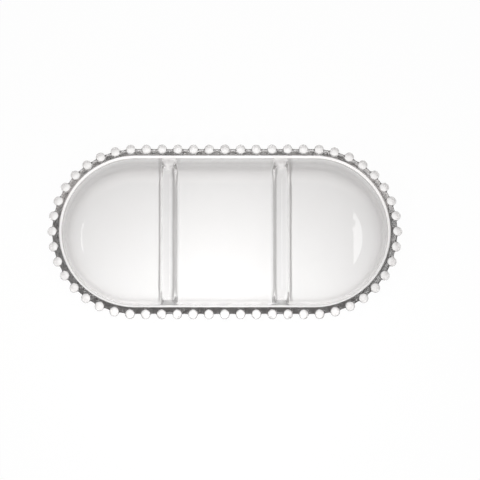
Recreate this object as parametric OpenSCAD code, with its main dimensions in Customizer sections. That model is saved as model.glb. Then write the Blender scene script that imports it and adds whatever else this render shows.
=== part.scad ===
// Three-compartment olive dish in clear pressed glass, with a beaded rim.
// The outline is a racetrack: two straight sides joined by two half-round ends.
// Millimetres, +Z up. The origin is the middle of the base, on the table; the length lies along X.

/* [Outline] */
// Overall length, over the beads
dish_length = 220; // [200:1:280]
// Overall width, over the beads
dish_width = 110; // [100:1:130]
// Height of the rim's top face above the table
rim_height = 27.5; // [25:0.5:40]

/* [Glass] */
// Thickness of the flat floor
floor_thickness = 4.5; // [3:0.1:7]
// Thickness of the side wall, square to its face
wall_thickness = 5.4; // [4.2:0.1:5.5]
// Lean of the side wall from upright, in degrees
wall_lean = 14; // [8:1:20]
// Radius of the hollow corner between floor and wall
corner_radius = 11; // [6:0.5:13]

/* [Rim] */
// Depth of the rim band below its top face
rim_depth = 6; // [5.5:0.1:8]
// Rounding of the inner lip
lip_radius = 2.2; // [1:0.1:2.4]

/* [Beads] */
// Diameter of one bead
bead_diameter = 6; // [5:0.1:6.4]
// Wanted spacing of the beads along the rim; the nearest whole number in each quarter is used
bead_pitch = 9.7; // [8.5:0.1:14]
// Depth of the beads' centres below the rim's top face
bead_drop = 1.4; // [1:0.1:1.8]

/* [Dividers] */
// Distance between the two dividers' middle planes
divider_spacing = 69; // [50:1:90]
// Width of a divider where it stands on the floor
divider_width = 12; // [9:0.5:16]
// Height of a divider above the floor
divider_height = 13; // [8:0.5:16]
// Radius of a divider's rounded crest
crest_radius = 4; // [3:0.1:4.4]

/* [Hidden] */
$fn = 96;
clear_glass = [0.93, 0.94, 0.94, 0.45];
bead_glass = [0.97, 0.97, 0.97, 0.6];

// The racetrack's spine runs between the centres of its two half-round ends. Distances are from the spine.
// The beads' centres stand right below the rim's outer edge.
straight_half = (dish_length - dish_width) / 2;
bead_line = (dish_width - bead_diameter) / 2;
rim_outer = bead_line;

// Half-sections are drawn as [distance from the spine, height].
lip = rim_outer - wall_thickness / cos(wall_lean);
rim_bottom = rim_height - rim_depth;
wall_up = [sin(wall_lean), cos(wall_lean)];
wall_out = [cos(wall_lean), -sin(wall_lean)];

// Distance from the spine of the wall's inner face, at a height
function inner_face(z) = lip - (rim_height - z) * tan(wall_lean);
// Distance from the spine of a corner's centre, at a height: corner_radius from the wall's inner face
function corner_centre(z) = inner_face(z) - corner_radius / cos(wall_lean);

inner_corner_z = floor_thickness + corner_radius;
inner_corner = [corner_centre(inner_corner_z), inner_corner_z];
outer_corner_radius = corner_radius + wall_thickness;
outer_corner = [corner_centre(outer_corner_radius), outer_corner_radius];
floor_half = min(inner_corner[0], outer_corner[0]);

// The line of the beads, measured along it from the middle of the right end, anticlockwise.
quarter_arc = bead_line * PI / 2;
quarter_track = quarter_arc + straight_half;
beads_per_quarter = round(quarter_track / bead_pitch);
bead_step = quarter_track / beads_per_quarter;
last_end_bead = floor(quarter_arc / bead_step);

// Direction square to the first quarter of the bead line, at a distance along it, in degrees from +X
function outward(s) = min(s, quarter_arc) / bead_line * 180 / PI;

// Sweeps a half-section once round the racetrack.
module round_the_track() {
    for (side = [0, 1]) {
        mirror([side, 0, 0])
            translate([straight_half, 0, 0])
                rotate([0, 0, -90])
                    rotate_extrude(angle = 180) children();
        mirror([0, side, 0])
            translate([-straight_half, 0, 0])
                rotate([90, 0, 90])
                    linear_extrude(2 * straight_half) children();
    }
}

// Half-section of the space inside a wall's face, from the spine outwards: a flat bottom, a round corner
// and a leaning side. The corner's radius is its centre's height above the bottom.
module bowl_section(bottom, corner, top_edge) {
    radius = corner[1] - bottom;
    polygon([
        [0, bottom],
        [corner[0], bottom],
        corner + radius * wall_out,
        [top_edge, rim_height],
        [0, rim_height]
    ]);
    translate(corner) circle(r = radius);
}

module hollow_section() {
    bowl_section(floor_thickness, inner_corner, lip);
}

// The flat bottom that the dish stands on.
module floor_plate() {
    color(clear_glass)
        linear_extrude(floor_thickness)
            union() {
                square([2 * straight_half, 2 * floor_half], center = true);
                for (side = [-1, 1])
                    translate([side * straight_half, 0]) circle(r = floor_half);
            }
}

// The wall round the floor, up to the rim band: an even thickness, with a hollow corner at its foot.
module side_wall() {
    color(clear_glass)
        round_the_track()
            intersection() {
                difference() {
                    bowl_section(0, outer_corner, rim_outer);
                    hollow_section();
                }
                translate([floor_half, 0]) square([rim_outer, rim_bottom]);
            }
}

// Section of the rim band: the wall carried on up to a flat top, with a rounded inner lip.
module rim_section() {
    lip_half_angle = (90 + wall_lean) / 2;
    lip_run = lip_radius / tan(lip_half_angle);
    lip_edge = [lip, rim_height];
    polygon([
        [inner_face(rim_bottom), rim_bottom],
        lip_edge - lip_run * wall_up,
        lip_edge + [lip_run, 0],
        [rim_outer, rim_height],
        [rim_outer - rim_depth * tan(wall_lean), rim_bottom]
    ]);
    translate(lip_edge + [lip_run, -lip_radius]) circle(r = lip_radius);
}

// The band on top of the wall, with a round socket for each bead.
module rim_band() {
    color(clear_glass)
        difference() {
            round_the_track() rim_section();
            end_beads(1);
            end_beads(-1);
            side_beads(1);
            side_beads(-1);
        }
}

// One divider: a ridge with leaning flanks and a round crest, fitted between the front and back walls.
module divider(x) {
    crest_z = floor_thickness + divider_height - crest_radius;
    foot = [divider_width / 2, floor_thickness];
    reach = norm(foot - [0, crest_z]);
    flank_angle = atan2(foot[1] - crest_z, foot[0]) + acos(crest_radius / reach);
    flank_top = [crest_radius * cos(flank_angle), crest_z + crest_radius * sin(flank_angle)];
    color(clear_glass)
        intersection() {
            translate([x, rim_outer, 0])
                rotate([90, 0, 0])
                    linear_extrude(2 * rim_outer)
                        union() {
                            polygon([[-foot[0], foot[1]], foot, flank_top, [-flank_top[0], flank_top[1]]]);
                            translate([0, crest_z]) circle(r = crest_radius);
                        }
            for (side = [0, 1])
                mirror([0, side, 0])
                    translate([-straight_half, 0, 0])
                        rotate([90, 0, 90])
                            linear_extrude(2 * straight_half) hollow_section();
        }
}

module left_divider() {
    divider(-divider_spacing / 2);
}

module right_divider() {
    divider(divider_spacing / 2);
}

// One bead, at a distance along the first quarter of its line. Its poles are turned square to the wall's face.
module bead(s) {
    translate([straight_half - max(0, s - quarter_arc), 0, rim_height - bead_drop])
        rotate([0, 0, outward(s)])
            translate([bead_line, 0, 0])
                rotate([0, 90 + wall_lean, 0]) sphere(d = bead_diameter);
}

// The beads round one end: the middle one on the X axis, and a mirrored pair at each step from it.
module end_beads(side) {
    mirror([side < 0 ? 1 : 0, 0, 0]) {
        bead(0);
        for (step = [1 : last_end_bead], back = [0, 1])
            mirror([0, back, 0]) bead(step * bead_step);
    }
}

// The beads along one straight side: the middle one on the Y axis, and a mirrored pair at each step from it.
module side_beads(side) {
    mirror([0, side < 0 ? 1 : 0, 0]) {
        bead(quarter_track);
        for (step = [last_end_bead + 1 : beads_per_quarter - 1], left = [0, 1])
            mirror([left, 0, 0]) bead(step * bead_step);
    }
}

module front_side_beads() {
    color(bead_glass) side_beads(-1);
}

module back_side_beads() {
    color(bead_glass) side_beads(1);
}

module left_end_beads() {
    color(bead_glass) end_beads(-1);
}

module right_end_beads() {
    color(bead_glass) end_beads(1);
}

floor_plate();
side_wall();
rim_band();
left_divider();
right_divider();
front_side_beads();
back_side_beads();
left_end_beads();
right_end_beads();
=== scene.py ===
from math import acos, atan2, cos, pi, radians, sin, sqrt, tan

import bmesh
import bpy
import numpy as np
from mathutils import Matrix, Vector


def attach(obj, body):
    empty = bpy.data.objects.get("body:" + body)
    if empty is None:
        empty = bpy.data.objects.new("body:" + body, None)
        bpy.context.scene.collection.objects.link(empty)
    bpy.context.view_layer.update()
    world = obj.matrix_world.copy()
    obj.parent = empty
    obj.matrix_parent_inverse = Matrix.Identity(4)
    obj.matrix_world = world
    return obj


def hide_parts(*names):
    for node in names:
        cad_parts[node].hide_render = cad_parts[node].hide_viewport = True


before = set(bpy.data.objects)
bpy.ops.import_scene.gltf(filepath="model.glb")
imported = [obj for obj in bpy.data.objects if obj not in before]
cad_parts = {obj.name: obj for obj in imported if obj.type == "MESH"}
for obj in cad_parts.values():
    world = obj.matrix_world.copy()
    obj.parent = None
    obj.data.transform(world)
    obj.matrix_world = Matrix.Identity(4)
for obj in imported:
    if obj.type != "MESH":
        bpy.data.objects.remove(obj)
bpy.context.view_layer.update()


# The dividers
# Two ridges of clear glass, pressed across the floor in one with the dish. Each has a round crest, steep sides
# and soft feet, and its crest is shifted a little towards the end of the dish. Sizes are in millimetres.
floor_thickness = 4.5
divider_x = 34.5
divider_height = 13.0
divider_half_width = 6.0
crest_radius = 4.0
crest_shift = 0.5
inner_foot_radius = 0.8
outer_foot_radius = 0.4


def divider_half(half_width, foot_radius):
    """Half of a divider's section, from the crest down to the floor: distances from the crest, and heights."""
    crest_z = divider_height - crest_radius
    reach = sqrt(half_width**2 + crest_z**2)
    steepness = pi / 2 - (atan2(-crest_z, half_width) + acos(crest_radius / reach))
    crest = [(crest_radius * sin(a), crest_z + crest_radius * cos(a)) for a in np.linspace(0, steepness, 12)]
    foot_x = half_width + foot_radius * tan(steepness / 2)
    foot = [(foot_x - foot_radius * sin(a), foot_radius - foot_radius * cos(a))
            for a in np.linspace(steepness, 0, 7)]
    side = np.linspace(crest[-1], foot[0], 8)[1:-1]
    return np.vstack([crest, side, foot])


inner_half = divider_half(divider_half_width + crest_shift, inner_foot_radius)
outer_half = divider_half(divider_half_width - crest_shift, outer_foot_radius)
divider_across = crest_shift + np.concatenate([-inner_half[::-1, 0], outer_half[1:, 0]])
divider_up = np.concatenate([inner_half[::-1, 1], outer_half[1:, 1]])


def divider_rise(x):
    """How far a divider raises the floor at a place along the dish."""
    return np.interp(np.abs(x) - divider_x, divider_across, divider_up, left=0.0, right=0.0)


# The floor and the wall
# A flat floor, and a wall of even thickness that leans out all round, in clear glass. Their outline is a
# racetrack, two straight sides joined by half-round ends. A hollow corner joins them, as the plunger left it.
dish_length, dish_width = 220.0, 110.0
bead_radius = 3.0
straight_half = (dish_length - dish_width) / 2
bead_line = dish_width / 2 - bead_radius
quarter_arc = bead_line * pi / 2
quarter_track = quarter_arc + straight_half
beads_per_quarter = 14
bead_step = quarter_track / beads_per_quarter


def quarter_stations():
    """Distances along the first quarter of the bead line, closer together at each bead and at the divider."""
    round_a_bead = [bead_radius * sin(radians(a)) for a in range(-75, 76, 15)]
    gap = bead_step / 2 - bead_radius
    between_beads = [bead_radius + gap * share for share in (0.0, 0.4)]
    offsets = round_a_bead + between_beads + [-s for s in between_beads] + [bead_step / 2]
    along = [k * bead_step + s for k in range(beads_per_quarter + 1) for s in offsets]
    along += [quarter_track - divider_x - u for u in divider_across]
    along += [0.0, quarter_arc, quarter_track]
    along = sorted(s for s in along if 0 <= s <= quarter_track)
    least_step = 0.04
    kept = along[:1]
    for s in along[1:]:
        if s - kept[-1] > least_step:
            kept.append(s)
    kept[-1] = quarter_track
    return kept


# A station is a cut square across the glass: the x of its foot on the spine, and its direction outwards.
first_quarter = [(straight_half - max(0.0, s - quarter_arc), min(s, quarter_arc) / bead_line)
                 for s in quarter_stations()]
back_half = first_quarter + [(-x, pi - a) for x, a in reversed(first_quarter[:-1])]
stations = np.array(back_half + [(x, -a) for x, a in reversed(back_half[1:-1])])
station_count = len(stations)
spine_x, outwards = stations[:, :1], stations[:, 1:]


def place(rho, z):
    """Points of the dish from distances off the spine and heights, with one row per station."""
    return np.stack(np.broadcast_arrays(spine_x + rho * np.cos(outwards), rho * np.sin(outwards), z), axis=-1)


rim_height = 27.5
wall_thickness, wall_lean = 5.4, radians(14)
corner_radius = 11.0
divider_end_radius, divider_end_power = 10.0, 0.6
lip = bead_line - wall_thickness / cos(wall_lean)


def inner_face(z):
    """Distance from the spine of the wall's inner face, at a height."""
    return lip - (rim_height - z) * tan(wall_lean)


def outer_face(z):
    """Distance from the spine of the wall's outer face, at a height."""
    return inner_face(z) + wall_thickness / cos(wall_lean)


def rounded_edge(a, b, radius):
    """Distance from the body between two faces, with their edge rounded."""
    rounding = np.hypot(np.maximum(radius + a, 0), np.maximum(radius + b, 0))
    return np.minimum(-radius, np.maximum(a, b)) + rounding


raised = np.where(np.abs(spine_x) < straight_half, divider_rise(spine_x), 0.0)
corner_z = floor_thickness + corner_radius
corner_rho = inner_face(corner_z) - corner_radius / cos(wall_lean)


def hollow_distance(rho, z):
    """Distance from the faces of the dish's hollow, below zero inside it. A divider fills its lower part, and
    runs into the wall in a curve."""
    bowl = np.maximum((rho - inner_face(z)) * cos(wall_lean), floor_thickness - z)
    across, up = rho - corner_rho, z - corner_z
    in_corner = (across > 0) & (up < -across * tan(wall_lean))
    bowl = np.where(in_corner, np.hypot(across, up) - corner_radius, bowl)
    end_curve = divider_end_radius * (raised / divider_height) ** divider_end_power
    return rounded_edge(bowl, floor_thickness + raised - z, end_curve)


def face_along_rays(distance, from_rho, from_z, direction, longest):
    """Where rays from one line inside a form meet its face, found by halving."""
    near = np.zeros((station_count, direction.shape[-1]))
    far = np.full_like(near, longest)
    halvings = 40
    for _ in range(halvings):
        middle = (near + far) / 2
        inside = distance(from_rho + middle * np.cos(direction), from_z + middle * np.sin(direction)) < 0
        near = np.where(inside, middle, near)
        far = np.where(inside, far, middle)
    return from_rho + near * np.cos(direction), from_z + near * np.sin(direction)


# The rim and its beads
# A flat band on top of the wall, with a string of whole beads on its outer edge. Beads and band came out of one
# mould, so a small hollow curve joins them. The inner lip is rounded.
lip_radius, outer_edge_radius, bead_fillet = 2.2, 0.5, 0.6
bead_drop = 1.4
bead_z = rim_height - bead_drop


def bead_place(number):
    """Centre of a bead, counted round the track from the middle of the right end."""
    quarter, step = divmod(number, beads_per_quarter)
    s = bead_step * (step if quarter % 2 == 0 else beads_per_quarter - step)
    a = min(s, quarter_arc) / bead_line
    x = straight_half - max(0.0, s - quarter_arc) + bead_line * cos(a)
    y = bead_line * sin(a)
    return (x if quarter in (0, 3) else -x, y if quarter < 2 else -y, bead_z)


beads = np.array([bead_place(number) for number in range(4 * beads_per_quarter)])
nearest = np.argmin(np.linalg.norm(place(bead_line, bead_z) - beads, axis=2), axis=1)
station_bead = beads[nearest][:, None]


def rim_distance(rho, z):
    """Distance from the faces of the rim with its beads, below zero in the glass."""
    top = z - rim_height
    outer = (rho - outer_face(z)) * cos(wall_lean)
    band = np.maximum(rounded_edge(top, outer, outer_edge_radius),
                      rounded_edge(top, -hollow_distance(rho, z), lip_radius))
    bead = np.linalg.norm(place(rho, z) - station_bead, axis=2) - bead_radius
    hollow_curve = np.hypot(np.maximum(bead_fillet - band, 0), np.maximum(bead_fillet - bead, 0))
    return np.maximum(bead_fillet, np.minimum(band, bead)) - hollow_curve


# The rim is measured outwards from one line inside it: over the lip and the top, and evenly round a bead.
core_rho, core_z = lip + 2.66, rim_height - 2.5
inner_heights = rim_height - np.array([4.9, 3.7, 2.7])
lip_edge = lip - 0.3
lip_turns = np.linspace(0, pi / 2, 6)
top_places = (lip + 2.4, lip + 3.1)
bead_turns = np.linspace(radians(140), radians(-130), 25)
outer_heights = rim_height - np.array([5.1, 5.9, 6.9])
aims = [(inner_face(z), z) for z in inner_heights]
aims += [(lip_edge + lip_radius * (1 - cos(a)), rim_height - lip_radius * (1 - sin(a))) for a in lip_turns]
aims += [(rho, rim_height) for rho in top_places]
aims += [(bead_line + bead_radius * cos(a), bead_z + bead_radius * sin(a)) for a in bead_turns]
aims += [(outer_face(z), z) for z in outer_heights]
turn = np.array([atan2(z - core_z, rho - core_rho) for rho, z in aims])
# A ray that points further inwards than this aims at the inner face, where the rays start.
last_outer_turn = -pi / 2 - 0.35
turn = np.unwrap(np.where(turn < last_outer_turn, turn + 2 * pi, turn))
rim_rho, rim_z = face_along_rays(rim_distance, core_rho, core_z, turn, longest=9.0)


# The pressing
# The dish is one body of clear glass, as it comes out of the mould. The sections above are joined into one
# skin, from the middle of the floor over the rim to the middle of the base.
# The inside is measured from a line high in the hollow, from straight down round to the rim.
eye_rho, eye_z = 28.0, 24.0
floor_rho = np.tile(eye_rho * np.array([0.0, 0.35, 0.7]), (station_count, 1))
floor_z = np.broadcast_to(floor_thickness + raised, floor_rho.shape)
last_look = np.arctan2(rim_z[:, :1] - eye_z, rim_rho[:, :1] - eye_rho)
look = -pi / 2 + (last_look + pi / 2) * np.linspace(0, 1, 24)[:-1]
inside_rho, inside_z = face_along_rays(hollow_distance, eye_rho, eye_z, look, longest=40.0)

outer_corner_radius = corner_radius + wall_thickness
base_half = inner_face(outer_corner_radius) - corner_radius / cos(wall_lean)
corner_turn = np.linspace(-wall_lean, -pi / 2, 10)
outside_rho = np.concatenate([base_half + outer_corner_radius * np.cos(corner_turn),
                              base_half * np.array([0.66, 0.33, 0.0])])
outside_z = np.concatenate([outer_corner_radius * (1 + np.sin(corner_turn)), np.zeros(3)])
wall_shares = np.linspace(0, 1, 6)[1:-1]
wall_rho = rim_rho[:, -1:] + (outside_rho[0] - rim_rho[:, -1:]) * wall_shares
wall_z = rim_z[:, -1:] + (outside_z[0] - rim_z[:, -1:]) * wall_shares

skin_rho = np.hstack([floor_rho, inside_rho, rim_rho, wall_rho, np.tile(outside_rho, (station_count, 1))])
skin_z = np.hstack([floor_z, inside_z, rim_z, wall_z, np.tile(outside_z, (station_count, 1))])
rows = skin_rho.shape[1]
skin = place(skin_rho, skin_z).reshape(-1, 3) / 1000
faces = []
for i in range(station_count):
    here, there = i * rows, (i + 1) % station_count * rows
    faces += [(here + j, there + j, there + j + 1, here + j + 1) for j in range(rows - 1)]

dish_mesh = bpy.data.meshes.new("pressed_dish")
dish_mesh.from_pydata(skin.tolist(), [], faces)
bm = bmesh.new()
bm.from_mesh(dish_mesh)
bmesh.ops.remove_doubles(bm, verts=bm.verts, dist=1e-6)
bmesh.ops.recalc_face_normals(bm, faces=bm.faces)
for face in bm.faces:
    face.smooth = True
bm.to_mesh(dish_mesh)
bm.free()
dish = bpy.data.objects.new("pressed_dish", dish_mesh)
bpy.context.collection.objects.link(dish)


class Shade:
    """A shader socket that can be reckoned with: an expression adds the Math nodes that work it out."""

    def __init__(self, tree, socket=None):
        self.tree = tree
        self.socket = socket

    def node(self, kind, settings=None, out=0, **sockets):
        """Any other node: its type, its settings, and its sockets' values or links, by name or by _number."""
        made = self.tree.nodes.new(kind)
        for name, value in (settings or {}).items():
            setattr(made, name, value)
        for name, value in sockets.items():
            plug = made.inputs[int(name[1:])] if name[0] == "_" else made.inputs[name.replace("_", " ")]
            if isinstance(value, Shade):
                self.tree.links.new(value.socket, plug)
            else:
                plug.default_value = value
        return Shade(self.tree, made.outputs[out])

    def math(self, operation, a, b=0.0):
        """A Math node on two values."""
        return self.node("ShaderNodeMath", {"operation": operation}, _0=a, _1=b)

    def __add__(self, other):
        return self.math("ADD", self, other)

    __radd__ = __add__

    def __mul__(self, other):
        return self.math("MULTIPLY", self, other)

    __rmul__ = __mul__

    def __sub__(self, other):
        return self.math("SUBTRACT", self, other)

    def __rsub__(self, other):
        return self.math("SUBTRACT", other, self)

    def __pow__(self, other):
        return self.math("POWER", self, other)

    def __abs__(self):
        return self.math("ABSOLUTE", self)

    def rise(self, low, high):
        """0 where this value is at the low number, 1 at the high one, and a smooth change between."""
        return self.node("ShaderNodeMapRange", {"interpolation_type": "SMOOTHSTEP"}, Value=self, From_Min=low,
                         From_Max=high)

    def parts(self):
        """The three numbers of a vector."""
        return [self.node("ShaderNodeSeparateXYZ", out=i, Vector=self) for i in range(3)]


def new_material(name):
    """An empty material, a starting point for its nodes, and its output."""
    material = bpy.data.materials.new(name)
    material.use_nodes = True
    material.node_tree.nodes.clear()
    return material, Shade(material.node_tree), material.node_tree.nodes.new("ShaderNodeOutputMaterial")


def distance_off_spine(x, y):
    """Distance of a shaded place from the spine, in millimetres."""
    past_straight = x.math("MAXIMUM", abs(x) - straight_half, 0.0)
    return (past_straight * past_straight + y * y) ** 0.5


# Clear glass with the faint waves of a pressing, and a finer ripple on the rim. Both depths are in millimetres.
wave_depth, ripple_depth = 0.03, 0.02
clear_glass, shade, output = new_material("clear_pressed_glass")
where = shade.node("ShaderNodeTexCoord", out=3)
x, y, z = (metres * 1000 for metres in where.parts())
off_spine = distance_off_spine(x, y)
waves = shade.node("ShaderNodeTexNoise", Vector=where, Scale=110.0, Detail=1.0)
ripple = shade.node("ShaderNodeTexNoise", Vector=where, Scale=600.0, Detail=2.0)
uneven = waves * wave_depth + ripple * off_spine.rise(lip + 0.6, lip + 1.6) * ripple_depth
pressed_skin = shade.node("ShaderNodeBump", Strength=1.0, Distance=0.001, Height=uneven)
glass_colour = shade.node("ShaderNodeMix", {"data_type": "RGBA"}, out=2, Factor=waves, _6=(1, 1, 1, 1),
                          _7=(0.985, 0.985, 0.98, 1))
glass = shade.node("ShaderNodeBsdfPrincipled", Base_Color=glass_colour, Roughness=ripple.rise(0.55, 0.8) * 0.01,
                   IOR=1.5, Transmission_Weight=1.0, Normal=pressed_skin)

# Painted highlight: the inner lip, the dividers' ends and the beads look white in the light, so a share of matt
# white is mixed into the clear glass there to stand in for that bright light. A bead's edge stays clear.
lip_highlight_share, divider_end_highlight_share, bead_highlight_share = 0.8, 0.5, 0.42
painted_highlight_colour = shade.node("ShaderNodeMix", {"data_type": "RGBA"}, out=2, Factor=ripple, _6=(0.97, 0.97, 0.97, 1),
                         _7=(0.93, 0.93, 0.93, 1))
painted_highlight_white = shade.node("ShaderNodeBsdfPrincipled", Base_Color=painted_highlight_colour, Roughness=0.4 + 0.2 * ripple, IOR=1.5,
                  Normal=pressed_skin)
on_lip = z.rise(rim_height - 1.8, rim_height - 1.2) * off_spine.rise(lip + 1.5, lip + 0.9)
beside_crest = abs(abs(x) - divider_x)
over_crest = z.rise(floor_thickness + divider_height, rim_height - lip_radius - 3.0)
on_divider_end = beside_crest.rise(divider_half_width - 0.5, divider_half_width / 2) * over_crest
on_divider_end = on_divider_end * off_spine.rise(lip + 1.1, lip + 0.6)
on_bead = shade.math("MAXIMUM", off_spine.rise(bead_line + 0.1, bead_line + 0.4),
                     z.rise(rim_height + 0.1, rim_height + 0.3))
bead_edge = shade.node("ShaderNodeLayerWeight", out=1)
on_bead = on_bead * bead_edge.rise(0.75, 0.25)
# How much painted highlight (matt white) each place gets.
painted_highlight_share = shade.math("MAXIMUM", on_lip * lip_highlight_share, on_divider_end * divider_end_highlight_share)
painted_highlight_share = shade.math("MAXIMUM", painted_highlight_share, on_bead * bead_highlight_share)
surface = shade.node("ShaderNodeMixShader", _0=painted_highlight_share, _1=glass, _2=painted_highlight_white)

# Light falls through the glass on to the table: well through level faces, less through steep ones, and least
# through the sides of the dividers that look towards the ends.
least_passed, steep_passed, level_gain, end_side_loss = 0.35, 0.4, 0.56, 6
facing_x, _, facing_z = shade.node("ShaderNodeNewGeometry", out=1).parts()
from_inside = shade.node("ShaderNodeNewGeometry", out=6)
between_ends = shade.math("LESS_THAN", abs(x), 0.9 * straight_half)
towards_end = -1 * facing_x * shade.math("SIGN", x) * from_inside * between_ends
passed = steep_passed + level_gain * abs(facing_z) ** 0.5 - end_side_loss * towards_end
passed = shade.math("MAXIMUM", passed, least_passed)
passed = passed * shade.node("ShaderNodeLightPath", out=1)
surface = shade.node("ShaderNodeMixShader", _0=passed, _1=surface, _2=shade.node("ShaderNodeBsdfTransparent"))
clear_glass.node_tree.links.new(surface.socket, output.inputs["Surface"])
thick_glass = shade.node("ShaderNodeVolumeAbsorption", Color=(0, 0, 0, 1), Density=5.0)
clear_glass.node_tree.links.new(thick_glass.socket, output.inputs["Volume"])
dish_mesh.materials.append(clear_glass)

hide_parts("floor_plate", "side_wall", "rim_band", "left_divider", "right_divider",
            "front_side_beads", "back_side_beads", "left_end_beads", "right_end_beads")
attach(dish, "root")


# The table
# A plain white sheet that the dish stands on. Seen straight on it glows white, with a faint shadow of the dish
# left. Seen in or through the glass it also glows white past the dish, a painted light, while under the glass it
# shows only the light that falls through.
table_half, table_drop = 3.0, 0.0004
bm = bmesh.new()
bmesh.ops.create_grid(bm, x_segments=1, y_segments=1, size=table_half)
table_mesh = bpy.data.meshes.new("white_table")
bm.to_mesh(table_mesh)
bm.free()
table = bpy.data.objects.new("white_table", table_mesh)
table.location.z = -table_drop
bpy.context.collection.objects.link(table)

white_sheet, shade, output = new_material("white_sheet")
table_x, table_y, _ = (metres * 1000 for metres in shade.node("ShaderNodeTexCoord", out=3).parts())
# Painted light: seen through or mirrored in the glass, the sheet glows white only past the dish.
past_the_dish = distance_off_spine(table_x, table_y).rise(bead_line - 2.0, bead_line + 6.0)
seen_straight, mirrored, through_glass = (shade.node("ShaderNodeLightPath", out=i) for i in (0, 3, 6))
straight_white, glass_glow_past_dish = 0.97, 0.38
glow_share = seen_straight * straight_white + (mirrored + through_glass) * past_the_dish * glass_glow_past_dish
lit = shade.node("ShaderNodeBsdfDiffuse", Color=(0.9, 0.9, 0.9, 1))
white_glow = shade.node("ShaderNodeEmission", Color=(1, 1, 1, 1), Strength=1.0)
sheet = shade.node("ShaderNodeMixShader", _0=glow_share, _1=lit, _2=white_glow)
white_sheet.node_tree.links.new(sheet.socket, output.inputs["Surface"])
table_mesh.materials.append(white_sheet)


# The light
# A small lamp over the near side of the dish, a pale room that is brighter behind the viewer, and a panel that
# shows only as a reflection in the right end.
room = bpy.data.worlds.new("pale_room")
bpy.context.scene.world = room
room.use_nodes = True
shade = Shade(room.node_tree)
_, away_from_viewer, _ = shade.node("ShaderNodeTexCoord").parts()
room_light = 0.18 + 0.5 * away_from_viewer.rise(0.0, -0.5)
background = room.node_tree.nodes["Background"]
background.inputs["Color"].default_value = (1, 0.94, 0.92, 1)
room.node_tree.links.new(room_light.socket, background.inputs["Strength"])


def lamp(name, spot, size, size_y, radiance, spread):
    """A flat lamp that looks straight down, out of the camera's sight."""
    data = bpy.data.lights.new(name, "AREA")
    data.shape = "RECTANGLE"
    data.size, data.size_y = size, size_y
    data.energy = radiance * pi * size * size_y
    data.spread = spread
    made = bpy.data.objects.new(name, data)
    made.location = spot
    made.visible_camera = False
    made.visible_transmission = False
    bpy.context.collection.objects.link(made)
    return made


small_lamp = lamp("small_lamp", spot=(-0.006, -0.07, 0.30), size=0.03, size_y=0.03, radiance=137,
                  spread=radians(112))
small_lamp.visible_glossy = False
right_panel = lamp("right_panel", spot=(0.146, 0.095, 0.50), size=0.10, size_y=0.12, radiance=3.2, spread=pi)
right_panel.visible_diffuse = False
glass_bounces = 64
for limit in ("max_bounces", "transmission_bounces", "glossy_bounces"):
    setattr(bpy.context.scene.cycles, limit, glass_bounces)


# The camera
# It looks down on the near side of the dish from far off.
camera_data = bpy.data.cameras.new("camera")
camera = bpy.data.objects.new("camera", camera_data)
bpy.context.collection.objects.link(camera)
elevation, distance = radians(80), 2.3
aim = Vector((0.0094, -0.0056, 0.0275))
half_picture_points, point_size = 240, 0.000619
camera.location = aim + distance * Vector((0, -cos(elevation), sin(elevation)))
camera.rotation_euler = (pi / 2 - elevation, 0, 0)
camera_data.angle = 2 * atan2(half_picture_points * point_size, distance)
camera_data.clip_end = 20
bpy.context.scene.camera = camera
bpy.context.scene.view_settings.view_transform = "Standard"
